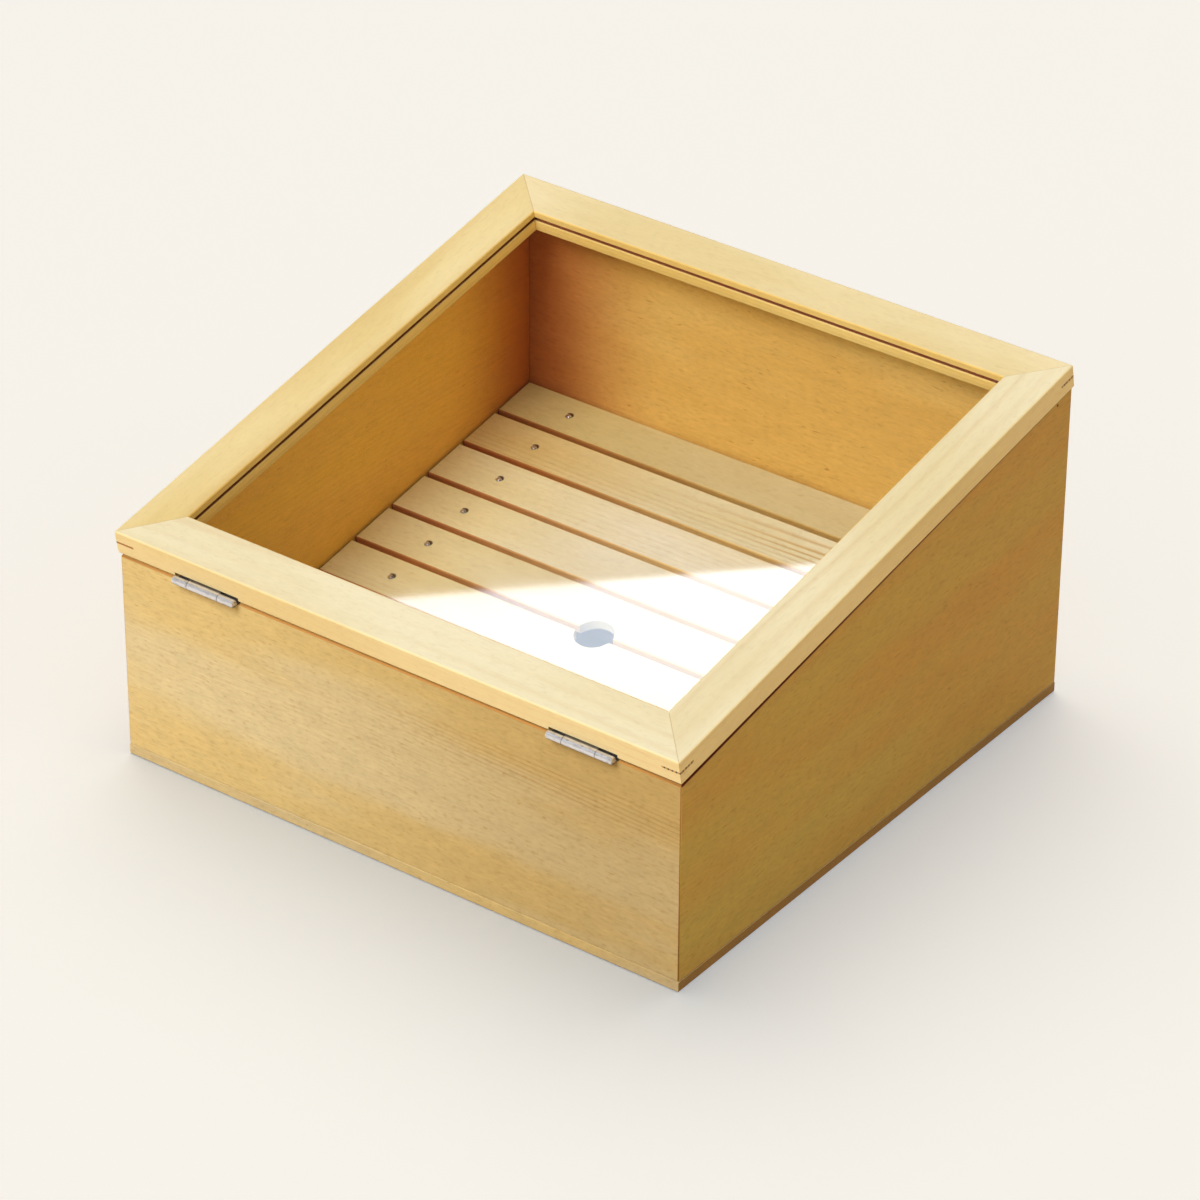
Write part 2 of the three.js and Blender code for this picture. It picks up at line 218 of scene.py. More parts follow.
floor_paint, tree, out = new_finish("floor_paint")
lit_share = [(1 - glowing) / FLOOR_LIT for glowing in FLOOR_GLOW]
taken_back = tinted(PAPER, *(lit / warm for lit, warm in zip(lit_share, WARMTH)))
lit = add(tree, "BsdfDiffuse", {"Color": taken_back})
glow = add(tree, "Emission", {"Color": tinted(PAPER, *FLOOR_GLOW), "Strength": 1.0})
shown = add(tree, "AddShader", {0: lit.outputs[0], 1: glow.outputs[0]})
bounce = add(tree, "BsdfDiffuse", {"Color": FLOOR_BOUNCE})
both = add(tree, "MixShader", {0: seen_directly(tree), 1: bounce.outputs[0], 2: shown.outputs[0]})
tree.links.new(both.outputs[0], out.inputs["Surface"])

floor = flat_sheet("floor", 2 * FLOOR_HALF, 2 * FLOOR_HALF)
floor.data.materials.append(floor_paint)
print("floor reaches", FLOOR_HALF, "m each way")

# %% [markdown]
# ## Light
#
# The world gives about half of the light, and the Light Path node makes it three things at once:
# a warm sky that lights the wood and fills the inside, a pale backdrop for the eye, and in mirrors
# a room that is pale low down and dark overhead, so that the glass stays clear instead of milky.

# %% Sky
SKY_FILL = 0.48
CEILING = colour(0.13, 0.13, 0.14)
CEILING_RISE = (0.10, 0.55)  # over this height of the sky the backdrop turns into the ceiling


def mirrored_before(tree):
    """1 for a ray that has met a mirror on its way here, even if glass bent it afterwards."""
    return reckon(tree, "MINIMUM", add(tree, "LightPath").outputs["Glossy Depth"], 1.0)


world = bpy.data.worlds.new("studio")
bpy.context.scene.world = world
world.use_nodes = True
tree = world.node_tree
tree.nodes.clear()
path = add(tree, "LightPath").outputs
height = add(tree, "SeparateXYZ", {0: add(tree, "TexCoord").outputs["Generated"]}).outputs["Z"]
mirrored = mix_colours(tree, smooth_step(tree, height, *CEILING_RISE), PAPER, CEILING)
fill = add(tree, "Background", {"Color": WARMTH, "Strength": SKY_FILL})
in_mirrors = add(tree, "Background", {"Color": mirrored, "Strength": 1.0})
to_the_eye = add(tree, "Background", {"Color": PAPER, "Strength": 1.0})
seen_world = add(tree, "MixShader", {
    0: mirrored_before(tree), 1: to_the_eye.outputs[0], 2: in_mirrors.outputs[0]})
sky = add(tree, "MixShader", {
    0: path["Is Diffuse Ray"], 1: seen_world.outputs[0], 2: fill.outputs[0]})
tree.links.new(sky.outputs[0], add(tree, "OutputWorld").inputs["Surface"])
print("sky fills with a strength of", SKY_FILL)

# %% [markdown]
# The key light stands almost straight in front and about as high as it is far. It reaches deep
# into the case, to the slats and the back wall. The floor has a lamp of its own from behind, as a
# studio gets by screening its lamps: the shadow then falls forward and to the right, where it sets
# the case on the ground. Light linking says which lamp lights what.

# %% Key light and floor light
KEY_FROM = Vector((-0.07, -0.90, 1.0))
KEY_STRENGTH = 2.16
KEY_SOFTNESS = math.radians(30)
FLOOR_LIGHT_FROM = Vector((-0.32, 0.40, 1.0))
FLOOR_LIGHT_STRENGTH = 1.54
FLOOR_LIGHT_SOFTNESS = math.radians(65)


def soft_sun(name, source, strength, softness, floor_state):
    """A broad light from one direction. Cards stand for it in mirrors. Its link with the floor
    is INCLUDE where it lights the floor and nothing else, and EXCLUDE where it lights the rest."""
    data = bpy.data.lights.new(name, "SUN")
    data.energy = strength
    data.angle = softness
    sun = bpy.data.objects.new(name, data)
    sun.rotation_euler = source.to_track_quat("Z", "Y").to_euler()
    sun.visible_glossy = False
    bpy.context.collection.objects.link(sun)

    linked = bpy.data.collections.new(name + "_floor_link")
    linked.objects.link(floor)
    sun.light_linking.receiver_collection = linked
    linked.collection_objects[0].light_linking.link_state = floor_state
    return sun


soft_sun("key_light", KEY_FROM, KEY_STRENGTH, KEY_SOFTNESS, "EXCLUDE")
floor_light = soft_sun("floor_light", FLOOR_LIGHT_FROM, FLOOR_LIGHT_STRENGTH,
                       FLOOR_LIGHT_SOFTNESS, "INCLUDE")
floor_light.data.color = WARMTH[:3]
print("key light", round(math.degrees(math.asin(KEY_FROM.normalized().z))), "degrees up")

# %% [markdown]
# Polished things show the lamps themselves. Two white cards stand in for them, and only mirrors
# see them: one at the front left gives the hinges their bright band, and one hangs over the back
# left, where the shut pane turns the eye. The straight edge of that second card is the slanting
# border of the white glare over the front right of the pane. It is no bigger than the glare
# needs, so that the open lid does not mirror it too.

# %% Cards for the reflections
CARD_WHITE = colour(0.87, 0.93, 1.0)
CARD_HEIGHT = 1.6
GLARE_EDGE_LEFT = Vector((-1.094, 0.663, CARD_HEIGHT))
GLARE_EDGE_RIGHT = Vector((-0.7015, 0.8944, CARD_HEIGHT))
CARD_LONG = 1.0
CARD_SHORT = 0.36
FRONT_CARD_FROM = Vector((-0.35, -0.70, 1.0)).normalized()
FRONT_CARD_AWAY = 3.0
FRONT_CARD_WIDTH = 2.6
FRONT_CARD_DEPTH = 1.6


def light_card(name, centre, facing, turn, width, depth, strength, edge):
    """A glowing card that only mirrors see, fading to nothing over its edge."""
    card = flat_sheet(name, width, depth)
    tilt = facing.to_track_quat("Z", "Y").to_matrix().to_4x4()
    card.matrix_world = Matrix.Translation(centre) @ tilt @ Matrix.Rotation(turn, 4, "Z")
    card.visible_camera = False
    card.visible_diffuse = False
    card.visible_shadow = False

    finish, tree, out = new_finish(name + "_glow")
    spot = add(tree, "SeparateXYZ", {0: add(tree, "TexCoord").outputs["Object"]}).outputs
    share = mirrored_before(tree)
    for axis, half in (("X", width / 2), ("Y", depth / 2)):
        distance = reckon(tree, "ABSOLUTE", spot[axis])
        inside = smooth_step(tree, distance, half - edge, half, start=1.0, end=0.0)
        share = reckon(tree, "MULTIPLY", inside, share)
    shining = reckon(tree, "MULTIPLY", share, strength)
    glow = add(tree, "Emission", {"Color": CARD_WHITE, "Strength": shining})
    clear = add(tree, "BsdfTransparent")
    both = add(tree, "MixShader", {0: share, 1: clear.outputs[0], 2: glow.outputs[0]})
    tree.links.new(both.outputs[0], out.inputs["Surface"])
    card.data.materials.append(finish)
    return card


along_edge = (GLARE_EDGE_RIGHT - GLARE_EDGE_LEFT).normalized()
into_card = Vector((along_edge.y, -along_edge.x, 0.0))
card_middle = (GLARE_EDGE_LEFT + GLARE_EDGE_RIGHT) / 2 + into_card * CARD_SHORT / 2
card_turn = math.atan2(along_edge.y, along_edge.x)
light_card("overhead_card", card_middle, Vector((0, 0, 1)), card_turn,
           CARD_LONG, CARD_SHORT, strength=6.2, edge=0.014)
light_card("front_card", FRONT_CARD_FROM * FRONT_CARD_AWAY, FRONT_CARD_FROM, 0.0,
           FRONT_CARD_WIDTH, FRONT_CARD_DEPTH, strength=1.6, edge=0.3)
print("overhead card turned", round(math.degrees(card_turn), 1), "degrees")

# %% [markdown]
# ## Which way each board's grain runs
#
# Wood is a solid pattern: the same growth rings show as long lines on a face and as arcs on an
# end. To get both from one pattern, every board has its own set of axes, with x along the grain,
# y across the face and z through the thickness. The walls run their grain level, the rails along
# their length, and the lid and the tray carry their axes up their own slopes.

# %% Axes of the boards
LID_SLOPE = math.radians(10.46)
TRAY_SLOPE = math.radians(9.5)
AXIS_X = Vector((1, 0, 0))
AXIS_Y = Vector((0, 1, 0))
AXIS_Z = Vector((0, 0, 1))


def uphill(slope):
    """The way up a slope that rises from the front to the back."""
    return Vector((0, math.cos(slope), math.sin(slope)))


GRAIN = {
    "bottom_board": (AXIS_X, AXIS_Y),
    "front_board": (AXIS_X, AXIS_Z),
    "back_board": (AXIS_X, AXIS_Z),
    "left_side": (AXIS_Y, AXIS_Z),
    "right_side": (AXIS_Y, AXIS_Z),
    "lid_front_rail": (AXIS_X, uphill(LID_SLOPE)),
    "lid_back_rail": (AXIS_X, uphill(LID_SLOPE)),
    "lid_left_rail": (uphill(LID_SLOPE), -AXIS_X),
    "lid_right_rail": (uphill(LID_SLOPE), -AXIS_X),
    "left_bearer": (uphill(TRAY_SLOPE), -AXIS_X),
    "right_bearer": (uphill(TRAY_SLOPE), -AXIS_X),
}
slat_names = sorted((n for n in nodes if n.startswith("slat_") and "nail" not in n),
                    key=lambda n: int(n.split("_")[1]))
for name in slat_names:
    GRAIN[name] = (AXIS_X, uphill(TRAY_SLOPE))


def board_axes(name):
    """The middle of a board, and the turn that takes its own axes to the shared ones."""
    along, across = GRAIN[name]
    low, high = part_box(name)
    turn = Matrix((along, across, along.cross(across))).transposed().to_euler()
    return (low + high) / 2, turn


print(len(GRAIN), "boards have grain axes")

# %% [markdown]
# ## The softwood
#
# The wood is pale, straight and close grained, planed and left bare. Up close it is made of four
# things: growth lines two to six millimetres apart that show in some bands and fade in others; fine
# fibres drawn out along the length; broad drifts from straw to honey; and a few short brown
# flecks. The end grain drinks in light and is darker. A picture would have to be stretched over
# each board and would show its seams, so the wood is worked out at every point from the board's
# own axes.

# %% A board's own axes in its finish
END_FACING = (0.75, 0.92)  # how squarely a face has to look along the grain to be end grain


def board_place(tree, name):
    """The point being coloured, in the board's own axes."""
    middle, turn = board_axes(name)
    point = add(tree, "TexCoord").outputs["Object"]
    sockets = {"Vector": point, "Location": middle, "Rotation": turn}
    return add(tree, "Mapping", sockets, vector_type="TEXTURE").outputs[0]


def end_grain(tree, name):
    """1 where the face looks along the grain, 0 on the long faces."""
    turn = board_axes(name)[1]
    facing = add(tree, "TexCoord").outputs["Normal"]
    turned = add(tree, "Mapping", {"Vector": facing, "Rotation": turn}, vector_type="TEXTURE")
    lengthwise = add(tree, "SeparateXYZ", {0: turned.outputs[0]}).outputs["X"]
    return smooth_step(tree, reckon(tree, "ABSOLUTE", lengthwise), *END_FACING)


print("left side turned", [round(math.degrees(angle)) for angle in board_axes("left_side")[1]])

# %% [markdown]
# A growth line is a ring of the tree cut lengthwise. It darkens slowly from spring to autumn and
# ends at once, so each ring is drawn by a colour ramp over the distance from the heart, which a
# plain wave could not do. Noise makes the rings wander and differ in width. A board may also have
# a band of bolder lines, or one paler streak.

# %% Growth lines, bands and streaks
SEASONS = ((0.12, 0.0), (0.55, 0.05), (0.86, 1.0))  # how far through a ring, how dark it is there


def growth_lines(tree, place, heart, spacing, seed):
    """Lines of dark late wood: rings round a heart that runs beside the board."""
    wander = speckle(tree, place, (2.2, 8.0, 8.0), seed, detail=1.0)
    shift = reckon(tree, "MULTIPLY_ADD", wander, 0.030, -0.015)
    axes = add(tree, "SeparateXYZ", {0: place}).outputs
    across = reckon(tree, "ADD", reckon(tree, "SUBTRACT", axes["Y"], heart[0]), shift)
    through = reckon(tree, "SUBTRACT", axes["Z"], heart[1])
    flat = add(tree, "CombineXYZ", {"Y": across, "Z": through}).outputs[0]
    radius = add(tree, "VectorMath", {0: flat}, operation="LENGTH").outputs["Value"]
    uneven = add(tree, "TexNoise", {"W": radius, "Scale": 0.3 / spacing, "Detail": 1.0},
                 noise_dimensions="1D").outputs[0]
    rings = reckon(tree, "ADD", reckon(tree, "DIVIDE", radius, spacing), uneven)
    season = reckon(tree, "FRACT", rings)
    ramp = add(tree, "ValToRGB", {0: season})
    stops = ramp.color_ramp.elements
    stops[0].position, stops[0].color = 0.0, (0.25, 0.25, 0.25, 1)
    stops[1].position, stops[1].color = 1.0, (0.35, 0.35, 0.35, 1)
    for position, shade in SEASONS:
        stops.new(position).color = (shade, shade, shade, 1)
    return ramp.outputs[0]


def off_height(tree, place, height):
    """How far a point is from one height across the board."""
    across = add(tree, "SeparateXYZ", {0: place}).outputs["Y"]
    return reckon(tree, "ABSOLUTE", reckon(tree, "SUBTRACT", across, height))


def lined_band(tree, place, band):
    """1 inside one band of bold lines: (height across, half width, where it starts, is full)."""
    height, half, start, full = band
    across = smooth_step(tree, off_height(tree, place, height), half * 0.5, half * 1.5, 1.0, 0.0)
    lengthwise = add(tree, "SeparateXYZ", {0: place}).outputs["X"]
    return reckon(tree, "MULTIPLY", across, smooth_step(tree, lengthwise, start, full))


def pale_streak(tree, place, streak):
    """1 in the middle of one pale streak along the board: (height across, half width)."""
    height, half = streak
    return smooth_step(tree, off_height(tree, place, height), 0.0, half, 1.0, 0.0)


print("growth lines, bands and streaks ready")

# %% [markdown]
# The bare wood lays those lines over the drift of colour, and lets cloud, mottle and fibre lighten
# and darken it. Each pattern is noise that is stretched along the grain, the fibre most of all.

# %% Colour of the bare wood
BOLDNESS = 3  # how much stronger the lines are inside a bold band
LATE_WOOD = (0.80, 0.62, 0.42)  # the colour of a line beside that of the honey
PATTERN_SWING = {"fibre": 0.22, "cloud": 0.26, "mottle": -0.24}


def bare_wood(tree, place, pale, honey, lines, spacing, heart, seed, mottling, bold, streak):
    """The colour of planed wood, and the fibre and the height that its surface follows."""
    patches = speckle(tree, place, (4.0, 20.0, 20.0), seed, detail=3.0)
    if streak:
        patches = reckon(tree, "MULTIPLY_ADD", pale_streak(tree, place, streak), -0.28,
                         reckon(tree, "ADD", patches, 0.10))
    drift = smooth_step(tree, patches, 0.34, 0.68)
    patterns = {
        "fibre": speckle(tree, place, (90.0, 1100.0, 1100.0), seed + 23, detail=2.0),
        "cloud": speckle(tree, place, (45.0, 110.0, 110.0), seed + 11, detail=4.0, roughness=0.65),
        "mottle": speckle(tree, place, (170.0, 420.0, 420.0), seed + 17, detail=3.0, roughness=0.6),
    }
    band = smooth_step(tree, speckle(tree, place, (1.6, 20.0, 20.0), seed + 37), 0.48, 0.72, 0.12)
    if bold:
        bolder = reckon(tree, "MULTIPLY", lined_band(tree, place, bold), BOLDNESS)
        band = reckon(tree, "MAXIMUM", band, bolder)
    late = growth_lines(tree, place, heart, spacing, seed)

    body = mix_colours(tree, drift, pale, honey)
    speckled = smooth_step(tree, patterns["mottle"], 0.52, 0.80, 0.0, 0.42 * mottling)
    shade = reckon(tree, "MULTIPLY", reckon(tree, "MULTIPLY", late, band), lines)
    shade = reckon(tree, "ADD", shade, speckled)
    body = mix_colours(tree, shade, body, tinted(honey, *LATE_WOOD))
    light = 1.0
    for pattern, swing in PATTERN_SWING.items():
        swing *= mottling
        level = reckon(tree, "MULTIPLY_ADD", patterns[pattern], swing, 1 - swing / 2)
        light = reckon(tree, "MULTIPLY", level, light)
    grey = add(tree, "CombineColor", {0: light, 1: light, 2: light}).outputs[0]
    body = mix_colours(tree, 1.0, body, grey, way="MULTIPLY")

    fine = reckon(tree, "ADD", patterns["fibre"], patterns["mottle"])
    return body, patterns["fibre"], reckon(tree, "MULTIPLY_ADD", late, 0.4, fine)


print("bare wood from", len(PATTERN_SWING), "patterns over its growth lines")

# %% [markdown]
# Some marks belong to one place on a board: the joint line at its ends (on the slats, a painted
# line of shade), the painted warm shade of the narrow faces, the painted shade in the groove for
# the pane, the painted shadow behind the nails, and the painted line of shade under the lid. Each
# is a mask, 1 where the mark lies, and is set out from the sizes of the solids.

# %% Sizes that the marks go by
front_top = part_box("front_board")[1]
side_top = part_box("right_side")[1]
WALL_SLOPE = math.atan2(side_top.z - front_top.z, side_top.y - front_top.y)
WALL_TOP = Vector((0, front_top.y, front_top.z))  # a point on the slanting tops of the walls
WALL_TOP_FACING = Vector((0, -math.sin(WALL_SLOPE), math.cos(WALL_SLOPE)))
SIDE_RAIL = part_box("lid_left_rail")[1].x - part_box("lid_left_rail")[0].x
FRONT_RAIL = 0.0360
BACK_RAIL = 0.0325
SLAT_GAP = 0.004
slat_step = (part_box("slat_1")[0].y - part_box("slat_2")[0].y) / math.cos(TRAY_SLOPE)
WIDTHS = {"lid_left_rail": SIDE_RAIL, "lid_right_rail": SIDE_RAIL,
          "lid_front_rail": FRONT_RAIL, "lid_back_rail": BACK_RAIL}
WIDTHS.update({name: slat_step - SLAT_GAP for name in slat_names})
INNER_SIDE = {"lid_front_rail": 1, "lid_right_rail": 1, "lid_left_rail": -1, "lid_back_rail": -1}
GROOVE_MIDDLE = 0.0013  # over the middle of a rail's thickness
GROOVE_HALF = 0.00212
GROOVE_DEPTH = 0.0034
BACK_RIGHT = Vector((0.35, 0.94, 0.0))  # the side of a nail's head that is in shade
print("walls slope", round(math.degrees(WALL_SLOPE), 2), "degrees, slats are",
      round(1000 * (slat_step - SLAT_GAP), 1), "mm wide")


# %% Masks for the ends, the narrow faces and the groove
def end_line(tree, place, name):
    """1 on the last millimetre at each end of a board, where two walls meet in a mitre."""
    low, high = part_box(name)
    half = abs((high - low).dot(GRAIN[name][0])) / 2
    lengthwise = add(tree, "SeparateXYZ", {0: place}).outputs["X"]
    return smooth_step(tree, reckon(tree, "ABSOLUTE", lengthwise), half - 0.0011, half - 0.0006)


def narrow_faces(tree, place, name, side):
    """1 on the narrow face at one side of a board (1 or -1 across) and on the arris beside it."""
    across = add(tree, "SeparateXYZ", {0: place}).outputs["Y"]
    half = WIDTHS[name] / 2
    return smooth_step(tree, reckon(tree, "MULTIPLY", across, side), half - 0.0010, half - 0.0005)


def groove(tree, place, name):
    """1 inside the groove that holds the pane, 0 on the rest of a rail."""
    axes = add(tree, "SeparateXYZ", {0: place}).outputs
    height = reckon(tree, "ABSOLUTE", reckon(tree, "SUBTRACT", axes["Z"], GROOVE_MIDDLE))
    level = reckon(tree, "LESS_THAN", height, GROOVE_HALF)
    inner = reckon(tree, "MULTIPLY", axes["Y"], INNER_SIDE[name])
    deep = reckon(tree, "GREATER_THAN", inner, WIDTHS[name] / 2 - GROOVE_DEPTH)
    return reckon(tree, "MULTIPLY", level, deep)


print("masks for", len(INNER_SIDE), "grooved rails and", len(WIDTHS), "boards with narrow faces")


# %% Masks for the painted shadow behind the nails and the shade under the lid
def nail_shadow(tree, nail):
    """1 on the arch of wood behind one nail's head, where painted shadow goes."""
    low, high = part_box(nail)
    reach = (high.x - low.x) / 2
    centre = Vector(((low.x + high.x) / 2, (low.y + high.y) / 2, high.z))
    point = add(tree, "TexCoord").outputs["Object"]
    moved = add(tree, "VectorMath", {0: point, 1: centre}, operation="SUBTRACT").outputs[0]
    away = add(tree, "VectorMath", {0: moved}, operation="LENGTH").outputs["Value"]
    toward = add(tree, "VectorMath", {0: moved, 1: BACK_RIGHT}, operation="DOT_PRODUCT")
    ring = smooth_step(tree, away, reach + 0.0006, reach + 0.0013, 0.9, 0.0)
    behind = smooth_step(tree, toward.outputs["Value"], -0.0004, 0.0008)
    return reckon(tree, "MULTIPLY", ring, behind)


def under_the_lid(tree, lengthwise, name):
    """1 on the outer top arris of a wall, where the lid throws a fine line of shade. On a side
    wall the line thins out toward the back, as the lid comes down to it."""
    is_side = name.endswith("side")
    axis = 0 if is_side else 1
    low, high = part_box(name)
    outer = low[axis] if abs(low[axis]) > abs(high[axis]) else high[axis]
    point = add(tree, "TexCoord").outputs["Object"]
    across = add(tree, "SeparateXYZ", {0: point}).outputs["XY"[axis]]
    inward = reckon(tree, "ABSOLUTE", reckon(tree, "SUBTRACT", across, outer))
    near_face = smooth_step(tree, inward, 0.0010, 0.0018, 1.0, 0.0)

    sockets = {0: point, 1: WALL_TOP}
    from_top = add(tree, "VectorMath", sockets, operation="SUBTRACT").outputs[0]
    sockets = {0: from_top, 1: WALL_TOP_FACING}
    above = add(tree, "VectorMath", sockets, operation="DOT_PRODUCT").outputs["Value"]
    near_top = smooth_step(tree, above, -0.0011, -0.0004)
    line = reckon(tree, "MULTIPLY", near_top, near_face)
    if is_side:
        line = reckon(tree, "MULTIPLY", line, smooth_step(tree, lengthwise, -0.15, 0.20, 1.0, 0.45))
    return line


print("masks for dents and shade ready")

# %% [markdown]
# The recipe lays the marks over the bare wood one after another, and each board below gives it
# its own tones, seed and heart. Tints grow along one of a board's axes, many of them painted light
# and shade, and a tint that multiplies keeps the grain under it in sight.

# %% The whole finish of one board
END_SHADE = (0.62, 0.44, 0.18, 1.0)
FLECK = (0.50, 0.34, 0.20)  # the colour of a fleck beside that of the honey
INNER_SKIN = (0.001, 0.004)  # over this rise through the thickness the inner face begins
TINT_TURN = (-0.20, 0.02)  # over this length the tint of a narrow face goes from left to right
JOINT_SHARE = 0.75  # how much of a joint's own colour shows in its line
# painted shadow on the wood behind each nail's head
NAIL_SHADOW_BROWN = colour(0.24, 0.13, 0.09)
# painted shade in the groove that holds the pane
GROOVE_PAINTED_SHADE = colour(0.54, 0.29, 0.18)
WOOD_ROUGHNESS = 0.47


def softwood(name, pale, honey, lines=0.2, spacing=0.0024, heart=(-0.12, -0.09), seed=1,
             mottling=1.0, flecks=0.5, bold=None, streak=None, inner_shades=(), shades=(),
             end_tone=None, seam=None, narrow=(), grooved=False, nailed=()):
    """The finish of one board. Pale and honey are the two ends of its drift of colour, lines is
    how strong its growth lines are, mottling its fine speckle, bold is a band of lines, streak is
    a pale streak. Shades are tints that grow along an axis (axis, start, full, tint), the inner
    ones on the inner face only; many of them are painted light and shade. End_tone draws the fine
    line at its ends: a joint line on the walls, painted shade on the slats. The colour for under
    the lid paints the fine line of shade on the arris there, narrow are tints of the narrow faces
    (side, tint at the left, tint at the right) that paint their warm shade, a grooved board gets
    painted shade in its groove, and nailed names the nails that get a painted shadow behind them."""
    finish, tree, out = new_finish(name + "_softwood")
    place = board_place(tree, name)
    axes = add(tree, "SeparateXYZ", {0: place}).outputs
    body, fibre, height = bare_wood(tree, place, pale, honey, lines, spacing, heart, seed,
                                    mottling, bold, streak)

    for axis, start, full, tint in inner_shades:
        inside = smooth_step(tree, axes["Z"], *INNER_SKIN)
        grown = reckon(tree, "MULTIPLY", smooth_step(tree, axes[axis], start, full), inside)
        body = mix_colours(tree, grown, body, tint, way="MULTIPLY")
    for axis, start, full, tint in shades:
        body = mix_colours(tree, smooth_step(tree, axes[axis], start, full), body, tint,
                           way="MULTIPLY")
    for side, left_tint, right_tint in narrow:
        face = narrow_faces(tree, place, name, side)
        tint = mix_colours(tree, smooth_step(tree, axes["X"], *TINT_TURN), left_tint, right_tint)
        body = mix_colours(tree, face, body, tint, way="MULTIPLY")
    for nail in nailed:
        body = mix_colours(tree, nail_shadow(tree, nail), body, NAIL_SHADOW_BROWN)
    if grooved:
        body = mix_colours(tree, groove(tree, place, name), body, GROOVE_PAINTED_SHADE)

    dash = speckle(tree, place, (150.0, 640.0, 640.0), seed + 41, detail=0.0)
    sparse = smooth_step(tree, dash, 0.78, 0.88, 0.0, flecks)
    body = mix_colours(tree, sparse, body, tinted(honey, *FLECK))
    if end_tone:
        joint = reckon(tree, "MULTIPLY", end_line(tree, place, name), JOINT_SHARE)
        body = mix_colours(tree, joint, body, end_tone)
    else:
        body = mix_colours(tree, end_grain(tree, name), body, END_SHADE, way="MULTIPLY")
    if seam:
        body = mix_colours(tree, under_the_lid(tree, axes["X"], name), body, seam)

    relief = add(tree, "Bump", {"Height": height, "Strength": 0.3, "Distance": 0.0002})
    polish = reckon(tree, "MULTIPLY_ADD", fibre, 0.16, WOOD_ROUGHNESS)
    surface = add(tree, "BsdfPrincipled", {
        "Base Color": body, "Roughness": polish, "Normal": relief.outputs[0],
        "Specular IOR Level": 0.30,
    })
    tree.links.new(surface.outputs[0], out.inputs["Surface"])
    return finish


print("softwood recipe ready")

# %% Give the solids their finish
dressed = set()


def dress(name, finish):
    """Gives one solid its finish."""
    slots = nodes[name].data.materials
    for index in range(len(slots)):
        slots[index] = finish
    dressed.add(name)


def dress_board(name, pale, honey, **recipe):
    """Gives one board its own softwood."""
    dress(name, softwood(name, pale, honey, **recipe))


slot_count = sum(len(solid.data.materials) for solid in nodes.values())
print("there are", slot_count, "material slots to fill")

# %% [markdown]
# ## The case
#
# Five boards: four mitred walls on a flush bottom. The front is the palest. Toward its right end,
# where a band of close lines runs under the lid, it darkens: that is painted shade, as if a lamp
# stood near its left end. The sides and the back come from darker, more olive planks. Inside, under
# the glass, the back and the left side are a richer gold than outside: partly their own colour and
# partly painted warm shade. Toward the corner where they meet they turn red-brown, as painted
# shade, and high on the back, close under the lid, painted light lifts the band where the back
# rail's shadow falls. The bottom shows its light long edge at the front and its dark end grain at
# the right.

# %% Tones of the case
STRAW = colour(0.91, 0.86, 0.69)
HONEY = colour(0.905, 0.82, 0.58)
OLIVE = colour(0.80, 0.715, 0.365)
AMBER = colour(0.81, 0.67, 0.33)
# the inner gold of the back and the left side: partly their own colour, partly painted warm shade
GOLD = colour(0.92, 0.77, 0.45)
COPPER = colour(0.90, 0.725, 0.39)
SUNNY = colour(1.0, 0.80, 0.33)
TOFFEE = colour(0.985, 0.775, 0.36)
SAND = colour(0.85, 0.795, 0.64)
JOINT_BROWN = colour(0.62, 0.36, 0.14)
# painted shade: the fine line that the lid throws on the walls' top arris, dark on the right side,
# orange on the front
LID_SHADE_DARK = colour(0.42, 0.16, 0.08)
LID_SHADE_ORANGE = colour(0.80, 0.59, 0.33)

# painted shade: the inner faces redden and darken toward the back-left corner
CORNER_PAINTED_SHADE = (0.56, 0.29, 0.25, 1.0)
TOP_PAINTED_LIGHT = (1.08, 1.2, 1.28, 1.0)  # painted light: lighter close under the lid, where the back rail's shadow falls
OUTER_OLIVE = (0.74, 0.88, 1.25, 1.0)  # turns the inner gold to the olive of the outside
# painted light and shade on the inner faces of the back and the left side
BACK_PAINTED_LIGHT_AND_SHADE = [("X", -0.09, -0.20, CORNER_PAINTED_SHADE), ("Y", 0.080, 0.108, TOP_PAINTED_LIGHT)]
LEFT_PAINTED_SHADE = [("X", 0.11, 0.205, CORNER_PAINTED_SHADE)]
OUTSIDE = [("Z", 0.002, -0.003, OUTER_OLIVE)]
# painted shade: the front darkens toward its right end, as if a lamp stood near its left end
FRONT_PAINTED_FALLOFF = [("X", -0.22, 0.22, (0.70, 0.64, 0.55, 1.0))]
RIGHT_DEEPENS = [("Y", -0.07, 0.03, (1.0, 0.94, 0.88, 1.0)),
                 ("X", -0.15, 0.15, (0.99, 0.92, 0.86, 1.0))]
BOTTOM_DEEPENS = [("X", -0.22, 0.22, (0.80, 0.76, 0.70, 1.0))]
print("front goes from", [round(c, 2) for c in STRAW[:3]], "to", [round(c, 2) for c in HONEY[:3]])

# %% Boards of the case
dress_board("front_board", STRAW, HONEY, heart=(-0.10, -0.10), seed=3,
            bold=(0.036, 0.011, -0.10, 0.12), streak=(-0.004, 0.045), shades=FRONT_PAINTED_FALLOFF,
            end_tone=JOINT_BROWN, seam=LID_SHADE_ORANGE)
dress_board("back_board", GOLD, COPPER, mottling=0.9, heart=(0.09, -0.12), seed=7,
            inner_shades=BACK_PAINTED_LIGHT_AND_SHADE, shades=OUTSIDE, end_tone=JOINT_BROWN, seam=LID_SHADE_ORANGE)
dress_board("left_side", SUNNY, TOFFEE, mottling=0.6, heart=(0.12, -0.15), seed=12,
            inner_shades=LEFT_PAINTED_SHADE, shades=OUTSIDE, seam=LID_SHADE_ORANGE)
dress_board("right_side", OLIVE, AMBER, lines=0.12, heart=(-0.14, -0.12), seed=18,
            shades=RIGHT_DEEPENS, seam=LID_SHADE_DARK)
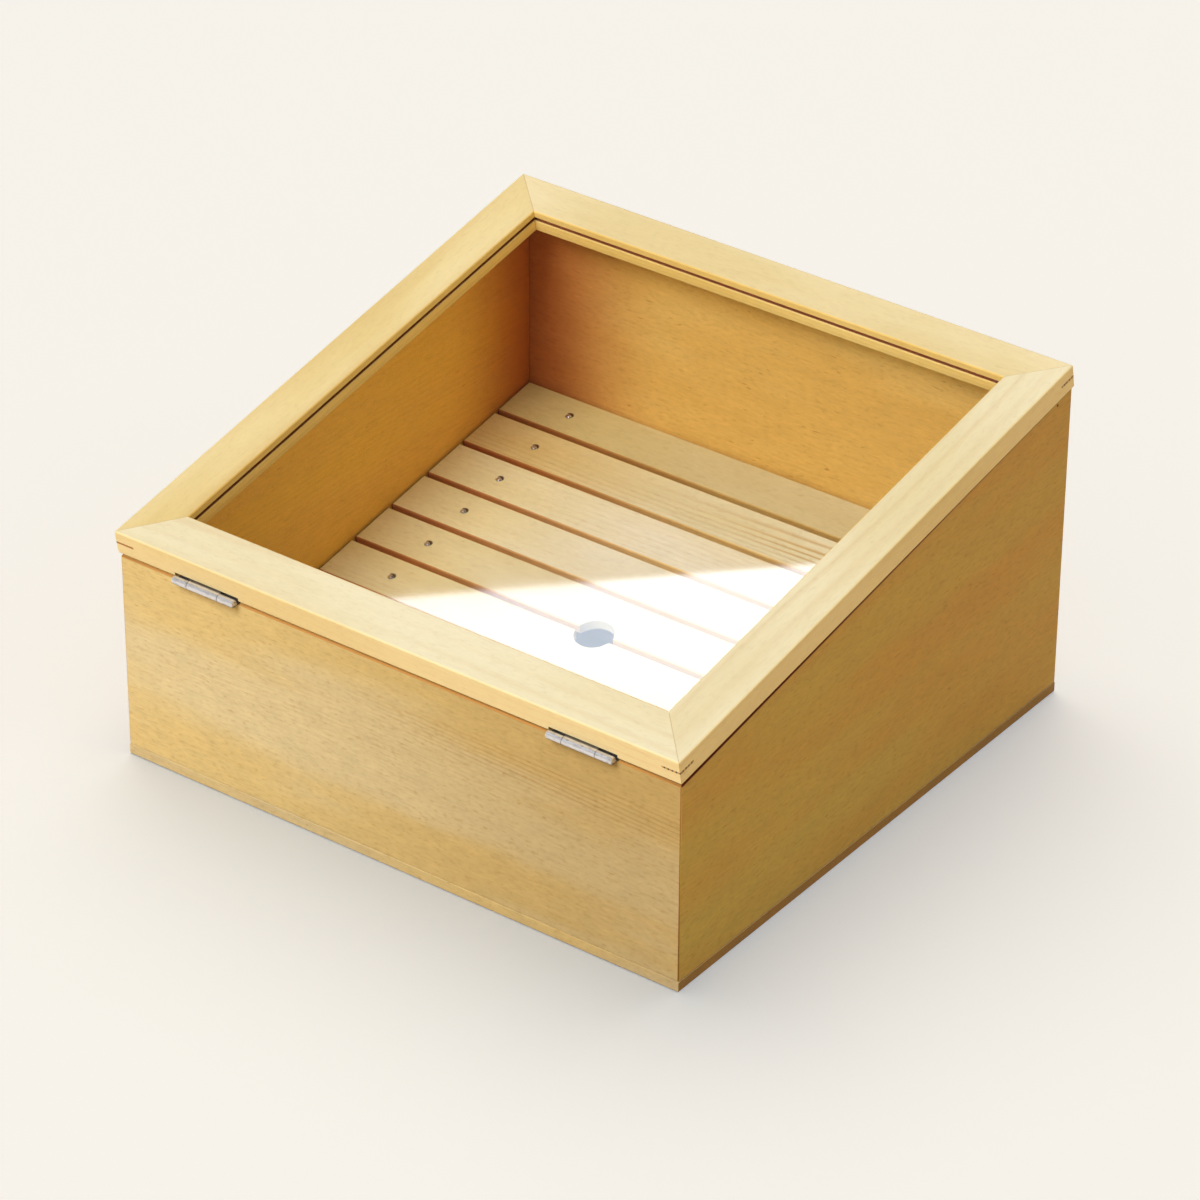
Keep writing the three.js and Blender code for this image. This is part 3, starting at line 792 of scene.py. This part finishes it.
dress_board("bottom_board", SAND, HONEY, lines=0.3, heart=(0.05, -0.05), seed=26,
            shades=BOTTOM_DEEPENS)
print("dressed", len(dressed), "boards of the case")

# %% [markdown]
# ## The lid frame
#
# The rails are the cleanest wood of all, almost cream, with a few long lines that show best on the
# left and at the back. Each rail has its own tone, seed and heart, so that the colour and the
# drawing change at every mitre. Its narrow faces are tinted more golden, most of all round the
# pane, and its groove is dark: both are painted shade.

# %% Rails of the lid
RAIL_TONES = {
    "lid_front_rail": (colour(0.955, 0.930, 0.812), colour(0.929, 0.889, 0.742)),
    "lid_left_rail": (colour(0.948, 0.886, 0.686), colour(0.903, 0.816, 0.570)),
    "lid_back_rail": (colour(0.954, 0.906, 0.748), colour(0.912, 0.846, 0.646)),
    "lid_right_rail": (colour(0.948, 0.918, 0.795), colour(0.909, 0.865, 0.705)),
}
LINED_RAILS = ("lid_left_rail", "lid_back_rail")
# painted warm shade on the narrow faces of the rails, outside and round the pane
EDGE_WARM_SHADE = (1.13, 1.06, 0.86, 1.0)
INNER_WARM_SHADE = (1.08, 0.93, 0.55, 1.0)

for index, (name, (pale, butter)) in enumerate(RAIL_TONES.items()):
    inner = INNER_SIDE[name]
    dress_board(name, pale, butter, lines=0.65 if name in LINED_RAILS else 0.28, spacing=0.0062,
                mottling=0.35, heart=(0.05 - 0.03 * index, -0.10), seed=31 + 5 * index, flecks=0.1,
                narrow=[(-inner, EDGE_WARM_SHADE, EDGE_WARM_SHADE), (inner, INNER_WARM_SHADE, INNER_WARM_SHADE)],
                grooved=True)
print("dressed", len(dressed), "boards so far")

# %% [markdown]
# ## The tray
#
# Ten slats sawn from the same pale stock lie across two bearers. The second from the back shows
# bolder growth lines than the rest, as one piece in a batch always does. Between two slats the
# sawn faces carry painted shade: umber at the shaded left end, and tan further along. The slats
# are painted darker toward their left ends, in the shade of the left wall, and have a painted line
# of shade at each end. On the second slat the painted shade at the left is deeper, and painted
# light makes its right end paler.

# %% Slats and bearers
SLAT_PALE = colour(0.955, 0.920, 0.820)
SLAT_WARM = colour(0.935, 0.885, 0.745)
SLAT_TONES = {"slat_1": (0.75, 0.70, 0.54), "slat_2": (0.91, 0.91, 0.84),
              "slat_3": (1.03, 1.06, 1.14), "slat_4": (1.03, 1.05, 1.10)}
# painted shade: a dark line at each end of a slat
SLAT_END_PAINTED_SHADE = colour(0.36, 0.17, 0.08)
# painted shade toward the left end of each slat, in the shade of the left wall
SLAT_LEFT_PAINTED_SHADE = [("X", -0.03, -0.17, (0.97, 0.92, 0.70, 1.0))]
# painted shade on the sawn faces between slats, umber at the left end and tan further along
GAP_SHADE_UMBER = (0.62, 0.27, 0.15, 1.0)
GAP_SHADE_TAN = (1.0, 0.78, 0.45, 1.0)
GAP_SHADE_AMBER = (0.92, 0.72, 0.45, 1.0)
# the drawing of a slat: its growth lines and its painted shade and light
PLAIN_LINES = {"lines": 0.22, "shades": SLAT_LEFT_PAINTED_SHADE}
BOLD_SLAT = "slat_2"
# the second slat: deeper painted shade at the left, painted light at the right
BOLD_LINES = {"lines": 0.45, "bold": (0.0, 0.012, -0.05, 0.10), "shades": SLAT_LEFT_PAINTED_SHADE + [
    ("X", -0.02, -0.17, (0.94, 0.83, 0.70, 1.0)), ("X", 0.00, 0.13, (1.08, 1.14, 1.28, 1.0))]}

for index, name in enumerate(slat_names):
    tone = SLAT_TONES.get(name, (1.0, 1.0, 1.0))
    number = name.split("_")[1]
    drawing = BOLD_LINES if name == BOLD_SLAT else PLAIN_LINES
    dress_board(name, tinted(SLAT_PALE, *tone), tinted(SLAT_WARM, *tone), spacing=0.0034,
                mottling=0.6, flecks=0.25, end_tone=SLAT_END_PAINTED_SHADE,
                narrow=[(-1, GAP_SHADE_UMBER, GAP_SHADE_TAN), (1, GAP_SHADE_TAN, GAP_SHADE_AMBER)],
                nailed=[f"slat_nail_{hand}_{number}" for hand in ("left", "right")],
                heart=(0.03 + 0.01 * (index % 3), -0.05), seed=53 + 3 * index, **drawing)
for index, name in enumerate(("left_bearer", "right_bearer")):
    dress_board(name, SLAT_WARM, HONEY, seed=91 + index)
print("dressed", len(slat_names), "slats and two bearers")

# %% [markdown]
# ## The corner keys
#
# A thin tongue of brown hardwood crosses each mitre and shows on the edge of the frame as a short
# line. On the right its open pores read as a row of dark dots, and on the left it is plainer. The
# dots are spaced along both faces from the corner, by the product of two waves.

# %% Brown hardwood of the keys
PORE_STEP = 0.0030
KEY_TAN = colour(0.86, 0.70, 0.44)
KEY_BROWN = colour(0.74, 0.50, 0.24)
KEY_DARK = colour(0.20, 0.11, 0.05)


def key_hardwood(name, ground, dots):
    """The finish of one key: its ground colour, and how strong its row of dark pores is."""
    finish, tree, out = new_finish(name + "_hardwood")
    low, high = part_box(name)
    side = 1 if low.x > 0 else -1
    corner = Vector((max(low.x * side, high.x * side) * side, low.y, low.z))
    point = add(tree, "TexCoord").outputs["Object"]
    from_corner = add(tree, "VectorMath", {0: point, 1: corner}, operation="SUBTRACT").outputs[0]
    axes = add(tree, "SeparateXYZ", {0: from_corner}).outputs
    waves = [reckon(tree, "COSINE", reckon(tree, "MULTIPLY", axes[axis], math.tau / PORE_STEP))
             for axis in ("X", "Y")]
    row = smooth_step(tree, reckon(tree, "MULTIPLY", *waves), 0.0, 0.8)
    grain = speckle(tree, point, (500.0, 500.0, 500.0), 5, detail=1.0)
    dark = reckon(tree, "MULTIPLY", row, dots)
    dark = reckon(tree, "MAXIMUM", dark, smooth_step(tree, grain, 0.55, 0.75, 0.0, 0.6))
    body = mix_colours(tree, dark, ground, KEY_DARK)
    polish = reckon(tree, "MULTIPLY_ADD", grain, 0.2, 0.5)
    relief = add(tree, "Bump", {"Height": grain, "Strength": 0.4, "Distance": 0.0002})
    surface = add(tree, "BsdfPrincipled", {
        "Base Color": body, "Roughness": polish, "Normal": relief.outputs[0],
    })
    tree.links.new(surface.outputs[0], out.inputs["Surface"])
    return finish


key_names = [n for n in nodes if n.startswith("corner_key")]
for name in key_names:
    ground, dots = (KEY_BROWN, 0.15) if name.endswith("left") else (KEY_TAN, 1.0)
    dress(name, key_hardwood(name, ground, dots))
print("dressed", len(key_names), "corner keys")

# %% [markdown]
# ## Glue in the mitres
#
# Each corner of the frame is glued. The glue fills the hair's breadth between two rails, steps
# round the key from outside and round the pane's groove from inside, and rides the lid with them.
# Its outline is drawn on the plane of the mitre: one way from the outer corner to the inner, the
# other up through the thickness.

# %% Outline of a sheet of glue
EASE_RAIL = 0.0009  # how far the arrises of the rails are rounded
GLUE_THICKNESS = 0.00016
GLUE_SHY = 0.00025  # how far the glue stays behind the faces of the wood
KEY_REACH = 0.0108  # how deep the key's slot goes, along the mitre
KEY_SLOT = (0.0079, 0.0101)  # its heights over the underside of the lid
GROOVE_REACH = 0.0050
GROOVE_SLOT = (0.0080, 0.0126)
LID_THICKNESS = 0.018


def glue_outline(reach):
    """Points round one sheet, as (in from the outer corner, up from the underside)."""
    near, far = GLUE_SHY, reach - GLUE_SHY
    low, high = GLUE_SHY, LID_THICKNESS - GLUE_SHY
    lift, back = EASE_RAIL, EASE_RAIL * math.sqrt(2)  # the corners are cut off like the arrises
    return [
        (near + back, low), (far - back, low), (far, low + lift),
        (far, GROOVE_SLOT[0]), (far - GROOVE_REACH, GROOVE_SLOT[0]),
        (far - GROOVE_REACH, GROOVE_SLOT[1]), (far, GROOVE_SLOT[1]),
        (far, high - lift), (far - back, high), (near + back, high), (near, high - lift),
        (near, KEY_SLOT[1]), (KEY_REACH, KEY_SLOT[1]),
        (KEY_REACH, KEY_SLOT[0]), (near, KEY_SLOT[0]), (near, low + lift),
    ]


print("a sheet of glue has", len(glue_outline(2 * KEY_REACH)), "corners")

# %% Sheets of glue
GLUE_TAN = colour(0.80, 0.66, 0.44)
lid_pin = Vector(next(j for j in frame["joints"] if j["name"] == "lid_hinge")["pos_m"])
lid_up = uphill(LID_SLOPE)
lid_out = AXIS_X.cross(lid_up)


def glue_sheet(name, outer, inner):
    """A thin sheet in one mitre, between its outer and inner corners (x, up the slope)."""
    start = lid_pin + AXIS_X * outer[0] + lid_up * outer[1]
    run = AXIS_X * (inner[0] - outer[0]) + lid_up * (inner[1] - outer[1])
    inward = run.normalized()
    sideways = inward.cross(lid_out) * GLUE_THICKNESS / 2
    outline = glue_outline(run.length)
    count = len(outline)
    flat = [start + inward * along + lid_out * rise for along, rise in outline]
    points = [point + side * sideways for side in (-1, 1) for point in flat]
    faces = [tuple(reversed(range(count))), tuple(range(count, 2 * count))]
    faces += [(i, (i + 1) % count, (i + 1) % count + count, i + count) for i in range(count)]
    mesh = bpy.data.meshes.new(name)
    mesh.from_pydata(points, [], faces)
    mesh.materials.append(glue_finish)
    sheet = bpy.data.objects.new(name, mesh)
    bpy.context.collection.objects.link(sheet)
    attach(sheet, "lid")


glue_finish, tree, out = new_finish("dried_glue")
point = add(tree, "TexCoord").outputs["Object"]
uneven = speckle(tree, point, (300.0, 300.0, 300.0), 8)
glue_colour = mix_colours(tree, uneven, GLUE_TAN, tinted(GLUE_TAN, 1.15, 1.12, 1.05))
surface = add(tree, "BsdfPrincipled", {
    "Base Color": glue_colour, "Roughness": reckon(tree, "MULTIPLY_ADD", uneven, 0.2, 0.45)})
tree.links.new(surface.outputs[0], out.inputs["Surface"])

half_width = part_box("lid_right_rail")[1].x
tilt_back = LID_THICKNESS * math.sin(LID_SLOPE)
lid_front = (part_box("lid_front_rail")[0].y - lid_pin.y + tilt_back) / math.cos(LID_SLOPE)
lid_back = (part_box("lid_back_rail")[1].y - lid_pin.y) / math.cos(LID_SLOPE)
mitres = {"front": (lid_front, FRONT_RAIL), "back": (lid_back, -BACK_RAIL)}
for end, (edge, inward) in mitres.items():
    for hand, side in (("left", -1), ("right", 1)):
        outer = (side * half_width, edge)
        inner = (side * (half_width - SIDE_RAIL), edge + inward)
        glue_sheet(f"glue_{end}_{hand}", outer, inner)
print("glue in", 2 * len(mitres), "mitres")

# %% [markdown]
# ## Plated steel
#
# Hinges, screws and nails are zinc plated: a bright metal under a cloudy, slightly chalky skin.
# Part of its light is mirrored and part is scattered, so the metal share stays below one. The life
# is in an uneven roughness, fine scratches and very shallow dents.

# %% Zinc plate
ZINC = colour(0.90, 0.90, 0.92)
STEEL_GREY = colour(0.55, 0.55, 0.57)
# the colour of the painted shade on hinges and nails
STEEL_SHADE = colour(0.16, 0.11, 0.08)


def plated_steel(name, metal, roughness, scratches, shaded):
    """Zinc plate. The shaded function says where painted shade darkens it, from 0 to 1."""
    finish, tree, out = new_finish(name)
    place = add(tree, "TexCoord").outputs["Object"]
    cloud = speckle(tree, place, (260.0, 700.0, 700.0), 2, detail=3.0)
    scratch = speckle(tree, place, (220.0, 2600.0, 2600.0), 6, detail=1.0)
    worn = smooth_step(tree, scratch, 0.58, 0.74, 0.0, scratches)
    worn = reckon(tree, "ADD", worn, smooth_step(tree, cloud, 0.50, 0.75, 0.0, 0.4))
    body = mix_colours(tree, worn, ZINC, STEEL_GREY)
    body = mix_colours(tree, shaded(tree, place), body, STEEL_SHADE)
    polish = reckon(tree, "MULTIPLY_ADD", cloud, 0.20, roughness - 0.10)
    polish = reckon(tree, "ADD", polish, reckon(tree, "MULTIPLY", worn, 0.15))
    relief = add(tree, "Bump", {"Height": cloud, "Strength": 0.12, "Distance": 0.0001})
    surface = add(tree, "BsdfPrincipled", {
        "Base Color": body, "Metallic": metal, "Roughness": polish, "Normal": relief.outputs[0],
    })
    tree.links.new(surface.outputs[0], out.inputs["Surface"])
    return finish


print("zinc plate ready")

# %% [markdown]
# Shade is painted into the plate: on the leaves in the crevice beside the barrel, under the
# barrel, and on the rim of each nail's head at the back and the right. The top of a barrel and the
# middle of a head stay bright.

# %% Steel for the hinges and the nails
BARREL_RADIUS = 0.0029


def painted_shade_on_hinge(tree, place):
    """Painted shade: 1 on the leaves close to the barrel and under it, 0 on its top, and little
    further in.
    """
    from_pin = add(tree, "VectorMath", {0: place, 1: lid_pin}, operation="SUBTRACT").outputs[0]
    flat = add(tree, "VectorMath", {0: from_pin, 1: (0, 1, 1)}, operation="MULTIPLY").outputs[0]
    away = add(tree, "VectorMath", {0: flat}, operation="LENGTH").outputs["Value"]
    near = smooth_step(tree, away, BARREL_RADIUS, BARREL_RADIUS + 0.0004, 0.0, 0.85)
    leaves = reckon(tree, "MULTIPLY", near, smooth_step(tree, away, 0.005, 0.008, 1.0, 0.15))
    drop = add(tree, "VectorMath", {0: flat, 1: (0, 0, -1)}, operation="DOT_PRODUCT")
    under = smooth_step(tree, drop.outputs["Value"], BARREL_RADIUS * 0.15, BARREL_RADIUS * 0.8,
                        0.0, 0.8)
    return reckon(tree, "MAXIMUM", leaves, under)


def painted_shade_on_nail(centre, reach):
    """Makes the painted shade of one nail: dark on the rim at the back and the right."""
    def shaded(tree, place):
        moved = add(tree, "VectorMath", {0: place, 1: centre}, operation="SUBTRACT").outputs[0]
        toward = add(tree, "VectorMath", {0: moved, 1: BACK_RIGHT}, operation="DOT_PRODUCT")
        return smooth_step(tree, toward.outputs["Value"], reach * 0.10, reach * 0.45, 0.0, 0.95)
    return shaded


hinge_finish = plated_steel("zinc_plate", metal=0.65, roughness=0.36, scratches=0.6,
                            shaded=painted_shade_on_hinge)
hinge_names = [n for n in nodes if "_hinge_" in n]
nail_names = [n for n in nodes if "_nail_" in n]
for name in hinge_names:
    dress(name, hinge_finish)
for name in nail_names:
    low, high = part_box(name)
    shading = painted_shade_on_nail((low + high) / 2, (high.x - low.x) / 2)
    dress(name, plated_steel(name + "_steel", metal=0.9, roughness=0.24, scratches=0.3,
                             shaded=shading))
print("dressed", len(hinge_names), "hinge pieces and", len(nail_names), "nails")

# %% [markdown]
# ## The pane
#
# Window glass three millimetres thick. The eye sees it bend each ray a little on the way in and
# out, which is what makes the groove round the pane look so thin. It mirrors a little at both
# faces, more at a glancing angle. Light on its way to the tray is another matter: bent rays would
# bring specks of noise, so for those the pane is simply clear, less what its faces mirror away.
# The Light Path node tells sight from light. A trace of dust dulls the mirror here and there.

# %% Glass
GLASS_INDEX = 1.5
GLASS_CLEAR = (0.997, 1.0, 0.998, 1.0)
LIGHT_THROUGH = (0.985, 0.99, 0.985, 1.0)  # what one face lets through


def pane_glass(name):
    """Glass that bends what is seen through it and lets light go straight."""
    finish, tree, out = new_finish(name)
    place = add(tree, "TexCoord").outputs["Object"]
    dust = smooth_step(tree, speckle(tree, place, (9.0, 9.0, 9.0), 4, detail=4.0), 0.45, 0.75)
    haze = reckon(tree, "MULTIPLY", dust, 0.03)
    mirror = add(tree, "BsdfAnisotropic", {"Color": (1, 1, 1, 1), "Roughness": haze})
    bent = add(tree, "BsdfRefraction", {"Color": GLASS_CLEAR, "Roughness": 0.0, "IOR": GLASS_INDEX})
    glance = add(tree, "Fresnel", {"IOR": GLASS_INDEX})
    sight = add(tree, "MixShader", {0: glance.outputs[0], 1: bent.outputs[0], 2: mirror.outputs[0]})
    path = add(tree, "LightPath").outputs
    is_light = reckon(tree, "MAXIMUM", path["Is Shadow Ray"], path["Is Diffuse Ray"])
    clear = add(tree, "BsdfTransparent", {"Color": LIGHT_THROUGH})
    both = add(tree, "MixShader", {0: is_light, 1: sight.outputs[0], 2: clear.outputs[0]})
    tree.links.new(both.outputs[0], out.inputs["Surface"])
    return finish


dress("glass_pane", pane_glass("pane_glass"))
undressed = sorted(set(nodes) - dressed)
print("solids without a finish:", undressed)

# %% [markdown]
# ## Eased edges
#
# No maker leaves a sharp arris: a plane or a bit of sandpaper takes it down to a narrow round that
# catches the light as a bright line. A Bevel modifier does the same, if it is told which edges to
# take. A small node group looks at each edge. Shallow ones, between the facets of a round part,
# are shaded smooth. Sharp ones are eased if they are long enough: the rims of holes and the short
# ends of boards stay crisp, and so does an edge that runs slantwise, because that is a glued
# mitre, planed flush.

# %% Node group that finds the edges to ease
SHARP = math.radians(35)
SLANTWISE = 0.3  # an edge runs slantwise if its shares of X and Y multiply to this or more


def edge_finder():
    """Marks sharp edges for the bevel and shades the rest smooth."""
    group = bpy.data.node_groups.new("find_edges", "GeometryNodeTree")
    group.interface.new_socket("Geometry", in_out="INPUT", socket_type="NodeSocketGeometry")
    group.interface.new_socket("Shortest", in_out="INPUT", socket_type="NodeSocketFloat")
    group.interface.new_socket("Geometry", in_out="OUTPUT", socket_type="NodeSocketGeometry")
    start, shortest = add(group, "NodeGroupInput").outputs[:2]

    angle = add(group, "GeometryNodeInputMeshEdgeAngle").outputs["Unsigned Angle"]
    sharp = reckon(group, "GREATER_THAN", angle, SHARP)
    ends = add(group, "GeometryNodeInputMeshEdgeVertices").outputs
    sockets = {0: ends["Position 1"], 1: ends["Position 2"]}
    along = add(group, "VectorMath", sockets, operation="SUBTRACT").outputs[0]
    length = add(group, "VectorMath", {0: along}, operation="LENGTH").outputs["Value"]
    long_enough = reckon(group, "GREATER_THAN", length, shortest)
    unit = add(group, "VectorMath", {0: along}, operation="NORMALIZE").outputs[0]
    way = add(group, "SeparateXYZ", {0: unit}).outputs
    slant = reckon(group, "ABSOLUTE", reckon(group, "MULTIPLY", way["X"], way["Y"]))
    straight = reckon(group, "LESS_THAN", slant, SLANTWISE)
    share = reckon(group, "MULTIPLY", reckon(group, "MULTIPLY", sharp, straight), long_enough)

    sockets = {"Mesh": start, "Remove Custom": True, "Edge Sharpness": sharp}
    shaded = add(group, "GeometryNodeSetMeshNormal", sockets, mode="SHARPNESS").outputs[0]
    sockets = {"Geometry": shaded, "Name": "bevel_weight_edge", "Value": share}
    weighed = add(group, "GeometryNodeStoreNamedAttribute", sockets,
                  data_type="FLOAT", domain="EDGE").outputs[0]
    add(group, "NodeGroupOutput", {0: weighed})
    return group


find_edges = edge_finder()
print("the edge finder has", len(find_edges.nodes), "nodes")

# %% [markdown]
# The solids come in as loose flat triangles, so a Weld modifier joins them first and flat faces
# are merged. Then come the edge finder and the bevel. Where the bevel leaves slivers too thin to
# see, a second weld closes them, and the last modifier keeps the flat faces looking flat.

# %% Weld, find the edges and bevel
EASE_BOARD = 0.0007
EASE_KEY = 0.0001
EASE_STEEL = 0.00015
SHORTEST_ON_WOOD = 0.0201
SHORTEST_ON_STEEL = 0.002
WELD_TRIANGLES = 0.000004
WELD_SLIVERS = 0.00002
FLAT = math.radians(0.5)


def ease(name, width, shortest):
    """Joins a solid's triangles and rounds its sharp edges, down to the shortest, by the width."""
    modifiers = nodes[name].modifiers
    modifiers.new("weld", "WELD").merge_threshold = WELD_TRIANGLES
    merge = modifiers.new("flats", "DECIMATE")
    merge.decimate_type = "DISSOLVE"
    merge.angle_limit = FLAT
    finder = modifiers.new("find_edges", "NODES")
    finder.node_group = find_edges
    finder[find_edges.interface.items_tree["Shortest"].identifier] = shortest
    bevel = modifiers.new("arris", "BEVEL")
    bevel.width = width
    bevel.segments = 2
    bevel.limit_method = "WEIGHT"
    bevel.use_clamp_overlap = False
    bevel.loop_slide = False
    modifiers.new("close_slivers", "WELD").merge_threshold = WELD_SLIVERS
    modifiers.new("even_shading", "WEIGHTED_NORMAL").keep_sharp = True


for name in GRAIN:
    ease(name, EASE_RAIL if "rail" in name else EASE_BOARD, SHORTEST_ON_WOOD)
for name in hinge_names + nail_names:
    ease(name, EASE_STEEL, SHORTEST_ON_STEEL)
for name in key_names:
    ease(name, EASE_KEY, SHORTEST_ON_STEEL)
print("eased", len(GRAIN), "boards and", len(hinge_names + nail_names + key_names), "small pieces")

# %% [markdown]
# ## Finish
#
# The colours are shown as they are, with no film look.

# %% Colour view
bpy.context.scene.view_settings.view_transform = "Standard"
